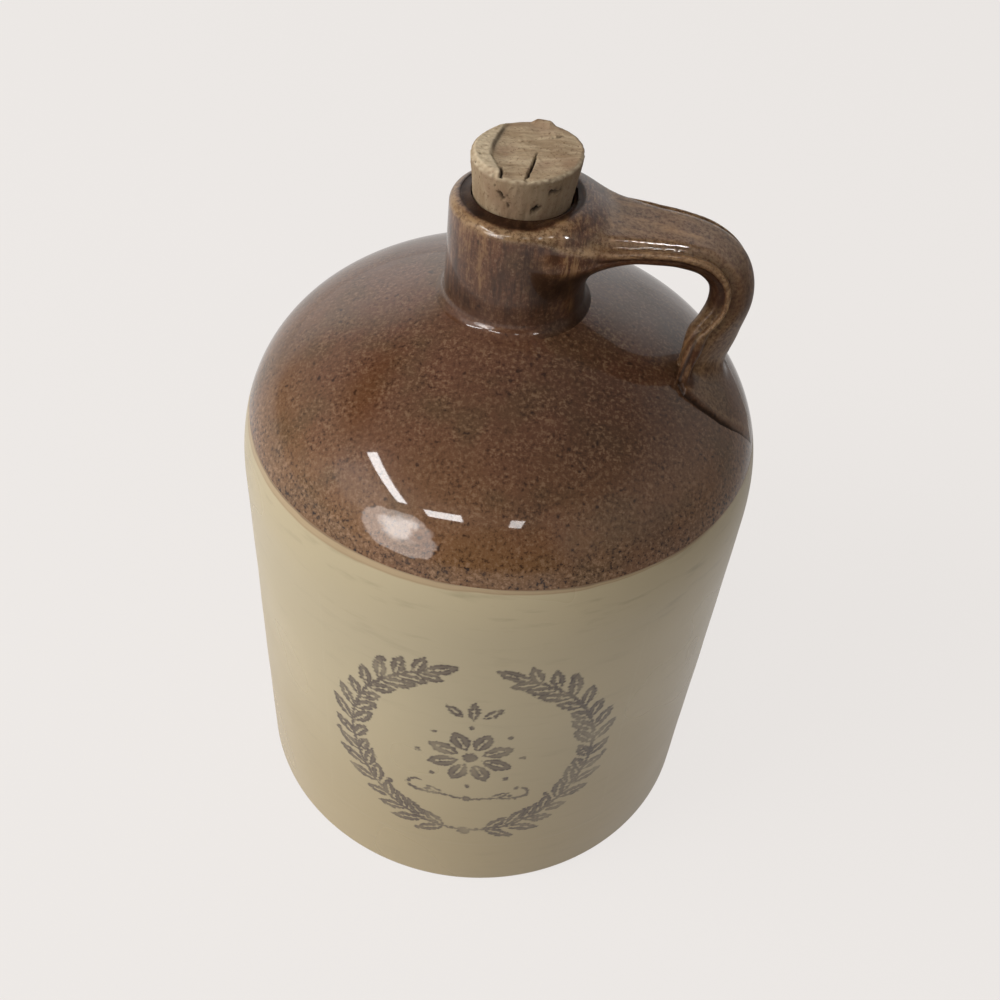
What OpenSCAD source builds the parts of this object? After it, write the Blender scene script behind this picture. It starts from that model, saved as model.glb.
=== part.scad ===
/* [Body] */
// Outer diameter of the straight wall
body_d = 112; // [96:1:130]
// How much narrower the foot is than the wall
foot_draw = 0.7; // [0:0.1:3]
// Height at which the straight wall turns into the dome
wall_h = 96.4; // [80:0.2:120]
// How far the light glaze climbs the dome before the dark glaze begins
glaze_rise = 14; // [6:0.5:18]
// Thickness of the wall
wall_t = 6.5; // [5:0.1:8]
// Thickness of the floor, from the foot ring up
floor_t = 7.5; // [6:0.1:10]
// Rounding of the inside corner between floor and wall
floor_round = 8; // [4:0.5:14]
// Rounding of the outer edge of the foot
foot_round = 1.3; // [0.6:0.1:3]
// Width of the dry ring that the jug stands on
foot_ring_w = 9; // [6:0.5:14]
// Depth of the hollow inside the foot ring
base_hollow = 1.2; // [0.6:0.1:2.5]

/* [Shoulder] */
// Rise of the dome from the end of the straight wall to the neck
dome_h = 42; // [34:0.5:52]
// How far the dome keeps on upright before it turns in
brow_pull = 24.8; // [18:0.2:30]
// How far the crown runs out flat from the neck
crown_pull = 28.7; // [20:0.2:34]
// Slope of the crown where it meets the neck, in degrees
crown_angle = 20.2; // [10:0.2:30]

/* [Neck] */
// Outer diameter of the neck
neck_d = 28; // [26:0.5:34]
// Height of the neck above the dome
neck_h = 21.8; // [18:0.2:30]
// Radius of the fillet at the foot of the neck
neck_fillet = 1.5; // [0.8:0.1:3]
// Rounding of the outer edge of the lip
lip_round = 2; // [1:0.1:3]
// How far the edge of the mouth stands above the rolled lip
mouth_rise = 0.6; // [0:0.1:1.2]
// Depth of the tapered seat that the cork is pushed into
seat_depth = 6.5; // [3:0.5:10]

/* [Cork] */
// Diameter of the top of the cork
cork_top_d = 20.7; // [19:0.1:21.5]
// Diameter of the lower end of the cork
cork_bottom_d = 16; // [14:0.1:17]
// Length of the cork
cork_len = 25.4; // [20:0.2:32]
// How far the cork stands above the lip
cork_proud = 8.5; // [5:0.1:12]
// Gap all round between the cork and its seat
cork_gap = 0.1; // [0.05:0.01:0.3]
// Width of the small bevel on the edges of the cork
cork_bevel = 0.4; // [0.2:0.1:1]

/* [Handle] */
// Distance from the neck's axis to the middle of the strap where it is farthest out
strap_reach = 42.4; // [40:0.1:48]
// Width of the strap where it leaves the neck behind
strap_w = 16; // [12:0.5:20]
// Thickness of the strap in its level stretch
strap_t = 6.2; // [5:0.1:8]
// How far the middle of the strap lies below the lip
strap_drop = 5; // [4:0.1:8]
// How far the strap is turned to the front where it lands, in degrees
strap_turn = 42; // [0:1:50]
// Depth of the shallow channel along the outside of the strap
strap_channel = 0.6; // [0:0.1:1.2]
// Width of the pressed end that is smeared onto the shoulder
heel_w = 31; // [24:0.5:36]
// Thickness of the pressed end
heel_t = 2.6; // [1.5:0.1:4]
// How far round to the front the pressed end is smeared, in degrees
heel_shift = 4; // [0:0.5:8]
// How far the clay under the strap stands out from the neck
root_out = 5.6; // [3:0.1:8]

/* [Hidden] */
$fn = 96;
// Length by which every cut runs past what it cuts
over = 2;
// Number of steps in each curve
dome_steps = 28;
arc_steps = 8;
strap_rings = 40;
strap_sides = 20;
heel_rings = 18;
heel_steps = 10;
root_rings = 12;

body_r = body_d / 2;
foot_r = body_r - foot_draw / 2;
neck_r = neck_d / 2;
seam_h = wall_h + glaze_rise;
crown_h = wall_h + dome_h;
crown_r = neck_r + neck_fillet * (1 - sin(crown_angle));
lip_h = crown_h + neck_h;
lip_crest_r = neck_r - lip_round;

// The cork narrows by this much of its length on each side
cork_slope = (cork_top_d - cork_bottom_d) / 2 / cork_len;
// Radius of the cork at a depth below its top
function cork_r(depth) = cork_top_d / 2 - cork_slope * depth;
mouth_h = lip_h + mouth_rise;
mouth_r = cork_r(cork_proud - mouth_rise) + cork_gap;
bore_r = cork_r(cork_proud - mouth_rise + seat_depth) + cork_gap;

function mix(a, b, t) = a + (b - a) * t;
function curve(p, t) =
    let (s = 1 - t)
    s * s * s * p[0] + 3 * s * s * t * p[1] + 3 * s * t * t * p[2] + t * t * t * p[3];
function curve_run(p, t) =
    let (s = 1 - t)
    3 * s * s * (p[1] - p[0]) + 6 * s * t * (p[2] - p[1]) + 3 * t * t * (p[3] - p[2]);
function arc_points(centre, r, from, to) =
    [for (i = [0 : arc_steps])
        let (a = mix(from, to, i / arc_steps))
        centre + r * [cos(a), sin(a)]];

// The dome is one curve, upright at the wall and gently falling at the neck
dome = [
    [body_r, wall_h],
    [body_r, wall_h + brow_pull],
    [crown_r + crown_pull * cos(crown_angle), crown_h - crown_pull * sin(crown_angle)],
    [crown_r, crown_h]
];
function dome_out(t, gap) =
    let (run = curve_run(dome, t))
    curve(dome, t) + gap * [run[1], -run[0]] / norm(run);
// Place along the dome, from 0 to 1, where it has a given radius
function dome_place(r, low = 0, high = 1, turns = 30) =
    turns == 0 ? (low + high) / 2 :
    let (middle = (low + high) / 2)
    curve(dome, middle)[0] > r
        ? dome_place(r, middle, high, turns - 1)
        : dome_place(r, low, middle, turns - 1);
dome_points = [for (i = [0 : dome_steps]) dome_out(i / dome_steps, 0)];
inner_points = [for (i = [0 : dome_steps]) dome_out(i / dome_steps, -wall_t)];
// The inside of the dome runs on to the bore at the slope of the crown
throat_h = inner_points[dome_steps][1]
    + (inner_points[dome_steps][0] - bore_r) * tan(crown_angle);

// The jug's outer surface below the neck, as a filled outline
module jug_outline() {
    polygon(concat(
        [[0, 0]],
        arc_points([foot_r - foot_round, foot_round], foot_round, -90, 0),
        dome_points,
        [[0, crown_h]]
    ));
}

// The hollow that holds the liquid, up to the neck
module cavity_outline() {
    polygon(concat(
        [[0, floor_t]],
        arc_points([body_r - wall_t - floor_round, floor_t + floor_round], floor_round, -90, 0),
        inner_points,
        [[bore_r, throat_h], [bore_r, crown_h + over], [0, crown_h + over]]
    ));
}

// A flat band of the outline between two heights
module band(low, high) {
    translate([0, low])
        square([body_r + over, high - low]);
}

// Light glazed lower wall and floor
module body() {
    color("#cabf9f")
        rotate_extrude($fn = 180)
            difference() {
                intersection() {
                    jug_outline();
                    band(0, seam_h);
                }
                cavity_outline();
                hollow_r = foot_r - foot_round - foot_ring_w;
                polygon([
                    [0, -over],
                    [hollow_r, -over],
                    [hollow_r, 0],
                    [hollow_r - base_hollow, base_hollow],
                    [0, base_hollow]
                ]);
            }
}

// Dark glazed dome from the glaze line up to the neck
module shoulder() {
    color("#7a5a44")
        rotate_extrude($fn = 180)
            difference() {
                intersection() {
                    jug_outline();
                    band(seam_h, crown_h);
                }
                cavity_outline();
            }
}

fillet_h = crown_h + neck_fillet * cos(crown_angle);
// Outline of the neck as a filled shape, with its rolled lip
neck_points = concat(
    [[0, crown_h]],
    arc_points([neck_r + neck_fillet, fillet_h], neck_fillet, 270 - crown_angle, 180),
    arc_points([lip_crest_r, lip_h - lip_round], lip_round, 0, 90),
    [[mix(mouth_r, lip_crest_r, 0.6), lip_h], [mouth_r, mouth_h], [0, mouth_h]]
);

// Neck with the bore and the tapered seat of the cork
module neck() {
    color("#6f5340")
        rotate_extrude()
            difference() {
                polygon(neck_points);
                polygon([
                    [0, crown_h - over],
                    [bore_r, crown_h - over],
                    [bore_r, mouth_h - seat_depth],
                    [mouth_r, mouth_h],
                    [mouth_r, lip_h + over],
                    [0, lip_h + over]
                ]);
            }
}

// Tapered cork that closes the mouth
module cork_stopper() {
    cork_low = lip_h + cork_proud - cork_len;
    bottom_r = cork_bottom_d / 2;
    top_r = cork_top_d / 2;
    color("#b3925f")
        translate([0, 0, cork_low])
            rotate_extrude()
                polygon([
                    [0, 0],
                    [bottom_r - cork_bevel, 0],
                    [bottom_r, cork_bevel],
                    [top_r, cork_len - cork_bevel],
                    [top_r - cork_bevel, cork_len],
                    [0, cork_len]
                ]);
}

// Stations of the strap from inside the neck over to the shoulder. Each row holds the
// distance out as a share of the reach, the height as a share of the way up from the
// landing, the width, the thickness and the turn as shares of those of the strap, and how
// far the strap leans to the front as a share of its width.
strap_shares = [
    [0.10, 1.05, 1.20, 0.84, 0.00, 0.01],
    [0.21, 1.04, 1.50, 0.94, 0.02, 0.02],
    [0.33, 1.02, 1.38, 1.00, 0.04, 0.03],
    [0.45, 0.99, 1.19, 1.03, 0.08, 0.04],
    [0.59, 0.97, 1.03, 0.97, 0.11, 0.03],
    [0.73, 0.95, 0.93, 0.97, 0.15, 0.02],
    [0.87, 0.88, 0.85, 1.02, 0.24, 0.01],
    [0.97, 0.74, 0.83, 1.10, 0.43, 0.00],
    [1.00, 0.53, 0.88, 1.16, 0.67, 0.01],
    [0.96, 0.30, 1.05, 1.23, 0.88, 0.09],
    [0.92, 0.07, 1.28, 1.29, 1.00, 0.25],
    [0.89, -0.15, 1.36, 1.32, 1.04, 0.33]
];
strap_last = len(strap_shares) - 1;
landing_r = strap_reach * strap_shares[strap_last][0];
landing_h = dome_out(dome_place(landing_r), -strap_t)[1];
strap_top = lip_h - strap_drop;

// One smooth value between four neighbours
function blend(a, b, c, d, t) =
    (2 * b + (c - a) * t + (2 * a - 5 * b + 4 * c - d) * t * t
    + (3 * b - a - 3 * c + d) * t * t * t) / 2;
function station(u) =
    let (
        i = min(floor(u * strap_last), strap_last - 1),
        t = u * strap_last - i,
        before = strap_shares[max(i - 1, 0)],
        after = strap_shares[min(i + 2, strap_last)]
    )
    [for (k = [0 : 5]) blend(before[k], strap_shares[i][k], strap_shares[i + 1][k], after[k], t)];
function strap_middle(u) =
    let (s = station(u))
    [s[0] * strap_reach, -s[5] * strap_w, mix(landing_h, strap_top, s[1])];

// One rounded ring across the strap
function strap_ring(u) =
    let (
        s = station(u),
        step = 0.01,
        ahead = strap_middle(min(u + step, 1)) - strap_middle(max(u - step, 0)),
        along = ahead / norm(ahead),
        out = [-along[2], 0, along[0]],
        front = [0, -1, 0],
        turn = s[4] * strap_turn,
        face = cos(turn) * out + sin(turn) * front,
        side = cos(turn) * front - sin(turn) * out
    )
    [for (j = [0 : strap_sides - 1])
        let (
            a = 360 * j / strap_sides,
            across = sign(cos(a)) * pow(abs(cos(a)), 0.85),
            up = sign(sin(a)) * pow(abs(sin(a)), 0.85),
            sunk = up > 0 ? strap_channel * pow(1 - across * across, 1.5) : 0,
            high = up * s[3] * strap_t / 2 - sunk
        )
        strap_middle(u) + across * s[2] * strap_w / 2 * side + high * face];

// One ring of the pressed end: its outer face swells and its back lies in the wall
heel_from = dome_place(landing_r * 0.97);
heel_to = dome_place(body_r * 0.96);
function heel_ring(u) =
    let (
        place = mix(heel_from, heel_to, u),
        r = dome_out(place, 0)[0],
        half = heel_w / 2 * pow(1 - pow(abs(2 * u - 1), 2.6), 0.6) + heel_t / 4,
        rise = heel_t * (1 - 0.8 * u),
        top = [for (k = [0 : heel_steps])
            let (v = 2 * k / heel_steps - 1)
            [v * half / r * 180 / PI, rise * (0.25 + 0.75 * pow(1 - v * v, 0.7))]],
        back = [for (k = [heel_steps : -1 : 0])
            let (v = 2 * k / heel_steps - 1)
            [v * half / r * 180 / PI, -heel_t]]
    )
    [for (q = concat(top, back))
        let (p = dome_out(place, q[1]))
        [p[0] * cos(q[0] - heel_shift), p[0] * sin(q[0] - heel_shift), p[1]]];

// One level ring of the clay that is smoothed down the neck under the strap
function root_ring(u) =
    let (
        high = strap_top,
        low = crown_h - over,
        z = mix(low, high, u),
        out = neck_r * 0.5 - over + (root_out + over) * pow(u, 1.6),
        half = mix(neck_r * 0.5, strap_w * 0.56, pow(u, 1.3))
    )
    [for (j = [0 : strap_sides - 1])
        let (a = 360 * j / strap_sides)
        [neck_r * 0.5 + out * cos(a), half * sin(a), z]];

function middle(ring) = [for (p = ring) 1] * ring / len(ring);

// Closes a row of rings into one solid, with a fan of triangles over each end
module rings_solid(rings) {
    n = len(rings[0]);
    last = len(rings) - 1;
    first_middle = (last + 1) * n;
    points = concat(
        [for (ring = rings) for (p = ring) p],
        [middle(rings[0]), middle(rings[last])]
    );
    walls = [for (i = [0 : last - 1]) for (j = [0 : n - 1])
        let (
            a = i * n + j,
            b = i * n + (j + 1) % n
        )
        each [[a, b, b + n], [a, b + n, a + n]]];
    caps = [for (j = [0 : n - 1])
        let (k = (j + 1) % n)
        each [[k, j, first_middle], [last * n + j, last * n + k, first_middle + 1]]];
    polyhedron(points, concat(walls, caps));
}

// Everything that the handle is pressed against, with the mouth kept clear above
module whole_outline() {
    jug_outline();
    polygon(neck_points);
    square([lip_crest_r, lip_h + over]);
}

// Pulled strap handle with its root on the neck and its pressed end on the shoulder
module handle() {
    color("#75563f")
        difference() {
            union() {
                rings_solid([for (i = [0 : strap_rings]) strap_ring(i / strap_rings)]);
                rings_solid([for (i = [0 : heel_rings]) heel_ring(i / heel_rings)]);
                rings_solid([for (i = [0 : root_rings]) root_ring(1 - i / root_rings)]);
            }
            rotate_extrude()
                whole_outline();
        }
}

body();
shoulder();
neck();
handle();
cork_stopper();
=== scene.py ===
import bpy
import numpy as np
from mathutils import Matrix, Vector


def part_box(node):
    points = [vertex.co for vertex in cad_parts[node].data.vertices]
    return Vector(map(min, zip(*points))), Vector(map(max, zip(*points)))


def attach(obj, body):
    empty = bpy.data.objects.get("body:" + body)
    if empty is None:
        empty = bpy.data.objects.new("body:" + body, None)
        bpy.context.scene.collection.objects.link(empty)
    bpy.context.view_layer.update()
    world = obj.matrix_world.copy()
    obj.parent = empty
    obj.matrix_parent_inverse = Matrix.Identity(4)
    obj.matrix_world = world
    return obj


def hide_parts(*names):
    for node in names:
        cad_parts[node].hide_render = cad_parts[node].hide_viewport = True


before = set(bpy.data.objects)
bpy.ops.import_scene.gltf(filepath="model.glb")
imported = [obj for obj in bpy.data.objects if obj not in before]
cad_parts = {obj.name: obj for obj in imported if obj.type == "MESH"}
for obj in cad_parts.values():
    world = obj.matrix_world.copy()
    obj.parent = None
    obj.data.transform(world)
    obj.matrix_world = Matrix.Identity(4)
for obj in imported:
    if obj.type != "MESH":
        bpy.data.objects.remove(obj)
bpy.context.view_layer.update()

# Camera
# A 42 mm lens on a square 36 mm frame, held above the front of the jug, looking down
# steeply and turned a little about its own line of sight. The angles are in radians.
eye = Vector((0, -0.19313, 0.27453))
pan, tilt, roll = 0.00718, 0.79091, 0.09776
ahead = Vector((np.sin(pan) * np.cos(tilt), np.cos(pan) * np.cos(tilt), -np.sin(tilt)))
level = Vector((np.cos(pan), -np.sin(pan), 0))
upright = level.cross(ahead)
rightwards = np.cos(roll) * level + np.sin(roll) * upright
upwards = np.cos(roll) * upright - np.sin(roll) * level
camera_data = bpy.data.cameras.new("camera")
camera_data.lens = 42.0
camera_data.sensor_width = 36.0
camera = bpy.data.objects.new("camera", camera_data)
camera.matrix_world = Matrix.Translation(eye) @ Matrix((rightwards, upwards, -ahead)).transposed().to_4x4()
bpy.context.collection.objects.link(camera)
bpy.context.scene.camera = camera
bpy.context.scene.view_settings.view_transform = "Standard"

# Lower wall and floor
# One jiggered piece of pale stoneware with a satin cream glaze. The wall is upright up to
# 96.4 mm and is glazed light until the dome has begun, at 110.4 mm.
body_r = (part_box("body")[1][0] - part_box("body")[0][0]) / 2
seam_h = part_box("shoulder")[0][2]
crown_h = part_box("neck")[0][2]
mouth_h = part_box("neck")[1][2]
wall_h = 0.0964
wall_t = 0.0065
floor_t = 0.0075
foot_draw = 0.00035
foot_round = 0.0013
foot_ring = 0.009
base_hollow = 0.0012
floor_round = 0.008
# The first row of points round the axis, and the rows that stand just inside a sharp edge
hub_r = 0.004
edge_inset = 0.0003
hidden_inset = 0.0004
crease_angle = np.radians(38)
brow_pull = 0.0248
crown_pull = 0.0287
crown_angle = np.radians(20.2)
neck_r = 0.014
neck_fillet = 0.0015
crown_r = neck_r + neck_fillet * (1 - np.sin(crown_angle))


def arc(centre, radius, start, end, count=9):
    """Points on a circle: the centre plus the radius along the cosine and sine of each angle."""
    turn = np.radians(np.linspace(start, end, count))
    return np.stack([centre[0] + radius * np.cos(turn), centre[1] + radius * np.sin(turn)], 1)


def dome(share, gap=0.0):
    """The dome's outline: a cubic curve upright at the wall and falling gently at the neck,
    moved by the gap along its outward normal."""
    t = np.asarray(share, float)[:, None]
    p = np.array([
        [body_r, wall_h],
        [body_r, wall_h + brow_pull],
        [crown_r + crown_pull * np.cos(crown_angle), crown_h - crown_pull * np.sin(crown_angle)],
        [crown_r, crown_h],
    ])
    s = 1 - t
    place = s**3 * p[0] + 3 * s * s * t * p[1] + 3 * s * t * t * p[2] + t**3 * p[3]
    run = 3 * s * s * (p[1] - p[0]) + 6 * s * t * (p[2] - p[1]) + 3 * t * t * (p[3] - p[2])
    run /= np.linalg.norm(run, axis=1)[:, None]
    return place + gap * np.stack([run[:, 1], -run[:, 0]], 1)


def dome_share(height):
    """The place along the dome's outline, from 0 to 1, at a height."""
    shares = np.linspace(0, 1, 4001)
    return float(np.interp(height, dome(shares)[:, 1], shares))


def hand(x, y, z):
    """The faint unevenness of a hand-finished wall: a few long waves, 0.1 mm at most in all."""
    turn = np.arctan2(y, x)
    return 1e-5 * (4 * np.sin(2 * turn + 40 * z) + 3 * np.sin(3 * turn - 90 * z + 1)
                   + 2 * np.sin(310 * z + turn) + 1.5 * np.sin(5 * turn + 170 * z + 2))


def put_mesh(name, points, faces, body="jug", slot="light_glaze"):
    """A smooth mesh from its points and faces, riding on a body."""
    mesh = bpy.data.meshes.new(name)
    mesh.from_pydata(points.tolist(), [], faces)
    mesh.polygons.foreach_set("use_smooth", np.ones(len(mesh.polygons), bool))
    mesh.set_sharp_from_angle(angle=crease_angle)
    piece = bpy.data.objects.new(name, mesh)
    bpy.context.collection.objects.link(piece)
    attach(piece, body)
    return piece


def revolve(name, outline, columns=320, wave=hand, **facts):
    """An outline of radius and height carried round the Z axis: each column stands at an even
    share of the turn, at the radius times the cosine and sine of that angle. The outline runs
    with the clay on its left. A point on the axis is one vertex with a fan of triangles."""
    outline = np.asarray(outline, float)
    open_rows = outline[:, 0] > 1e-9
    rows = outline[open_rows]
    turn = 2 * np.pi * np.arange(columns) / columns
    run = np.gradient(rows, axis=0)
    run /= np.linalg.norm(run, axis=1)[:, None] + 1e-12
    x = rows[:, :1] * np.cos(turn)
    y = rows[:, :1] * np.sin(turn)
    z = rows[:, 1:] + 0 * x
    bulge = wave(x, y, z) if wave else 0 * x
    x = x + bulge * run[:, 1:] * np.cos(turn)
    y = y + bulge * run[:, 1:] * np.sin(turn)
    points = np.stack([x, y, z], -1).reshape(-1, 3)
    grid = np.arange(len(rows) * columns).reshape(len(rows), columns)
    beside = np.roll(grid, -1, axis=1)
    faces = np.stack([grid[:-1], beside[:-1], beside[1:], grid[1:]], -1).reshape(-1, 4).tolist()
    if not open_rows[0]:
        faces += [[len(points), b, a] for a, b in zip(grid[0], beside[0])]
        points = np.vstack([points, [0, 0, outline[0, 1]]])
    if not open_rows[-1]:
        faces += [[len(points), a, b] for a, b in zip(grid[-1], beside[-1])]
        points = np.vstack([points, [0, 0, outline[-1, 1]]])
    if open_rows[0] and open_rows[-1]:
        ends = np.stack([grid[-1], beside[-1], beside[0], grid[0]], -1)
        faces += ends.tolist()
    return put_mesh(name, points, faces, **facts)


def line(start, end, count):
    """Evenly spaced points on a straight line."""
    return np.linspace(start, end, count)


foot_r = body_r - foot_draw
ring_in = foot_r - foot_round - foot_ring
seam_share = dome_share(seam_h)
low_dome = dome(np.linspace(0, seam_share, 24))
low_inner = dome(np.linspace(0, seam_share, 24), -wall_t)
low_inner[-1, 1] = seam_h
body_outline = np.vstack([
    [[0, base_hollow]],
    line((hub_r, base_hollow), (ring_in - base_hollow, base_hollow), 12),
    line((ring_in, 0), (foot_r - foot_round, 0), 4),
    arc((foot_r - foot_round, foot_round), foot_round, -85, 0, 7),
    line((foot_r, foot_round * 1.2), (body_r, wall_h), 90)[:-1],
    low_dome,
    line((low_dome[-1, 0] - edge_inset, seam_h), (low_inner[-1, 0] + edge_inset, seam_h), 3),
    low_inner[::-1],
    line((body_r - wall_t, wall_h), (body_r - wall_t, floor_t + floor_round), 10)[1:],
    arc((body_r - wall_t - floor_round, floor_t + floor_round), floor_round, 0, -90, 9)[1:],
    line((body_r - wall_t - floor_round, floor_t), (hub_r, floor_t), 8)[1:],
    [[0, floor_t]],
])
body = revolve("wall", body_outline)
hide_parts("body")


def tint(red, green, blue):
    """A colour written as it looks on a screen, from 0 to 255, as Blender's linear values."""
    c = np.array([red, green, blue]) / 255
    c = np.where(c < 0.04045, c / 12.92, ((c + 0.055) / 1.055) ** 2.4)
    return (*c, 1.0)


def add(tree, kind, settings=None, inputs=None):
    """A node with its settings, and its inputs set or linked by name or number."""
    node = tree.nodes.new(kind)
    for key, value in (settings or {}).items():
        setattr(node, key, value)
    for key, value in (inputs or {}).items():
        if isinstance(value, bpy.types.NodeSocket):
            tree.links.new(value, node.inputs[key])
        else:
            node.inputs[key].default_value = value
    return node


def sums(tree, operation, a, b=0.0, clamp=False):
    """One sum of two values or sockets."""
    settings = {"operation": operation, "use_clamp": clamp}
    return add(tree, "ShaderNodeMath", settings, {0: a, 1: b}).outputs[0]


def times(tree, a, b):
    """Two values or sockets multiplied."""
    return sums(tree, "MULTIPLY", a, b)


def plus(tree, a, b, clamp=False):
    """Two values or sockets added, and held from 0 to 1 where clamped."""
    return sums(tree, "ADD", a, b, clamp)


def less(tree, a, b):
    """The second value or socket taken from the first."""
    return sums(tree, "SUBTRACT", a, b)


def ramp(tree, value, low, high, out_low=0.0, out_high=1.0, kind="SMOOTHSTEP"):
    """A value carried from one span to another, and held at its ends."""
    inputs = {"Value": value, "From Min": low, "From Max": high, "To Min": out_low, "To Max": out_high}
    return add(tree, "ShaderNodeMapRange", {"interpolation_type": kind}, inputs).outputs["Result"]


def blend(tree, share, a, b):
    """Colour a moved towards colour b by a share."""
    return add(tree, "ShaderNodeMix", {"data_type": "RGBA"}, {0: share, 6: a, 7: b}).outputs[2]


def washed(tree, colour, *washes):
    """A colour moved by each wash in turn: towards its shade by its share."""
    for share, shade in washes:
        colour = blend(tree, share, colour, tint(*shade))
    return colour


def noise(tree, where, size, detail=2.0, rough=0.5, stretch=(1, 1, 1)):
    """Noise whose features are about one size in metres, stretched along the axes."""
    mapping = add(tree, "ShaderNodeMapping", None, {"Vector": where, "Scale": [1 / s for s in stretch]})
    inputs = {"Vector": mapping.outputs[0], "Scale": 1 / size, "Detail": detail, "Roughness": rough}
    return add(tree, "ShaderNodeTexNoise", None, inputs).outputs["Fac"]


def group(name, takes):
    """An empty shader group for a glaze: its named inputs, and as outputs its colour, the height
    of its ripples and its roughness."""
    tree = bpy.data.node_groups.new(name, "ShaderNodeTree")
    for label, kind, value in takes:
        socket = tree.interface.new_socket(label, in_out="INPUT", socket_type="NodeSocket" + kind)
        socket.default_value = value
    for label, kind in (("Colour", "Color"), ("Height", "Float"), ("Roughness", "Float")):
        tree.interface.new_socket(label, in_out="OUTPUT", socket_type="NodeSocket" + kind)
    return tree, tree.nodes.new("NodeGroupInput").outputs, tree.nodes.new("NodeGroupOutput").inputs


def light_glaze_group():
    """The cream glaze: slow drifts of tone, faint level smudges, small pits, and the thin brown
    run under the dark glaze's edge. Also the height of its ripples."""
    takes = [
        ("Cream", "Color", tint(194, 179, 145)),
        ("Grey", "Color", tint(181, 169, 141)),
    ]
    tree, given, out = group("light_glaze_look", takes)
    link = tree.links.new
    where = add(tree, "ShaderNodeTexCoord").outputs["Object"]
    place = add(tree, "ShaderNodeSeparateXYZ", None, {0: where}).outputs
    drift = noise(tree, where, 0.045, 2)
    smear = noise(tree, where, 0.0045, 3, 0.55, stretch=(2.6, 2.6, 0.5))
    colour = blend(tree, ramp(tree, drift, 0.35, 0.75, 0, 0.4), given["Cream"], given["Grey"])
    warm = ramp(tree, place["Z"], 0.075, 0.012, 0, 0.6)
    high = ramp(tree, place["Z"], 0.085, 0.106, 0.15, 0.5)
    smudge = times(tree, ramp(tree, smear, 0.52, 0.78), high)
    # Pits are small and far apart: most cells of the cell noise have none
    cells = add(tree, "ShaderNodeTexVoronoi", None, {"Vector": where, "Scale": 95.0})
    parts = add(tree, "ShaderNodeSeparateColor", None, {0: cells.outputs["Color"]}).outputs
    chosen = ramp(tree, parts[0], 0.84, 0.86)
    pit = times(tree, ramp(tree, cells.outputs["Distance"], 0.05, 0.015), chosen)
    # The run of thin brown that has crept below the edge of the dark glaze
    wander = noise(tree, where, 0.02, 3)
    turn = sums(tree, "ARCTAN2", place["Y"], place["X"])
    widest_bearing = -2.75
    side = sums(tree, "COSINE", less(tree, turn, widest_bearing))
    wide = ramp(tree, side, -0.5, 1.0, 0.0006, 0.0019)
    fall = less(tree, float(seam_h), place["Z"])
    swing = times(tree, less(tree, wander, 0.5), 0.0022)
    fall = less(tree, fall, swing)
    share = sums(tree, "DIVIDE", fall, wide)
    run = ramp(tree, share, 1.12, 0.82)
    rim = ramp(tree, sums(tree, "ABSOLUTE", less(tree, share, 0.86)), 0.2, 0.0)
    colour = washed(
        tree, colour,
        (warm, (177, 157, 117)),
        (smudge, (150, 137, 107)),
        (times(tree, pit, 0.55), (98, 88, 66)),
        (times(tree, run, 0.75), (176, 150, 116)),
        (times(tree, rim, 0.3), (142, 116, 83)),
        (ramp(tree, fall, 0.0005, 0.0001, 0, 0.7), (108, 78, 52)),
    )
    link(colour, out["Colour"])
    ripple = noise(tree, where, 0.004, 3, 0.55)
    height = plus(tree, ripple, times(tree, pit, -1.5))
    link(height, out["Height"])
    link(ramp(tree, drift, 0.3, 0.7, 0.26, 0.34), out["Roughness"])
    return tree


light_glaze_look = light_glaze_group()


def glaze_material(name, look, bump, coat):
    """A fired glaze: the look's colour and roughness on the shader, with its ripples as a
    bump and a clear coat on top. Returns the material, its look node and its tree."""
    material = bpy.data.materials.new(name)
    material.use_nodes = True
    tree = material.node_tree
    shader = tree.nodes["Principled BSDF"]
    skin = add(tree, "ShaderNodeGroup", {"node_tree": look})
    facts = {"Distance": bump, "Strength": 1.0, "Height": skin.outputs["Height"]}
    ripples = add(tree, "ShaderNodeBump", None, facts)
    tree.links.new(skin.outputs["Colour"], shader.inputs["Base Color"])
    tree.links.new(skin.outputs["Roughness"], shader.inputs["Roughness"])
    tree.links.new(ripples.outputs[0], shader.inputs["Normal"])
    shader.inputs["Coat Weight"].default_value = coat
    shader.inputs["Coat Roughness"].default_value = 0.04
    shader.inputs["Specular IOR Level"].default_value = 0.5 - 0.4 * coat
    return material, skin, tree


cream_ripple = 0.00003
body.data.materials.append(glaze_material("cream_glaze", light_glaze_look, cream_ripple, 0.0)[0])

# Domed shoulder
# The top of the jug, thrown as a dome and luted to the wall. Its glossy brown glaze is
# speckled with iron spots and ends in a thin run on the light glaze.
neck_hole_r = 0.0092
neck_hole_t = 0.0045
shoulder_outline = np.vstack([
    line((low_inner[-1, 0] + edge_inset, seam_h), (low_dome[-1, 0] - hidden_inset, seam_h), 3),
    dome(np.linspace(seam_share, 1, 90)),
    line((crown_r - hidden_inset, crown_h), (neck_hole_r, crown_h), 3),
    [[neck_hole_r, crown_h - neck_hole_t]],
    dome(np.linspace(1, seam_share, 40), -wall_t)[:-1],
    [[low_inner[-1, 0], seam_h]],
])
shoulder = revolve("dome", shoulder_outline, slot="dark_glaze")
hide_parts("shoulder")


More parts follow.
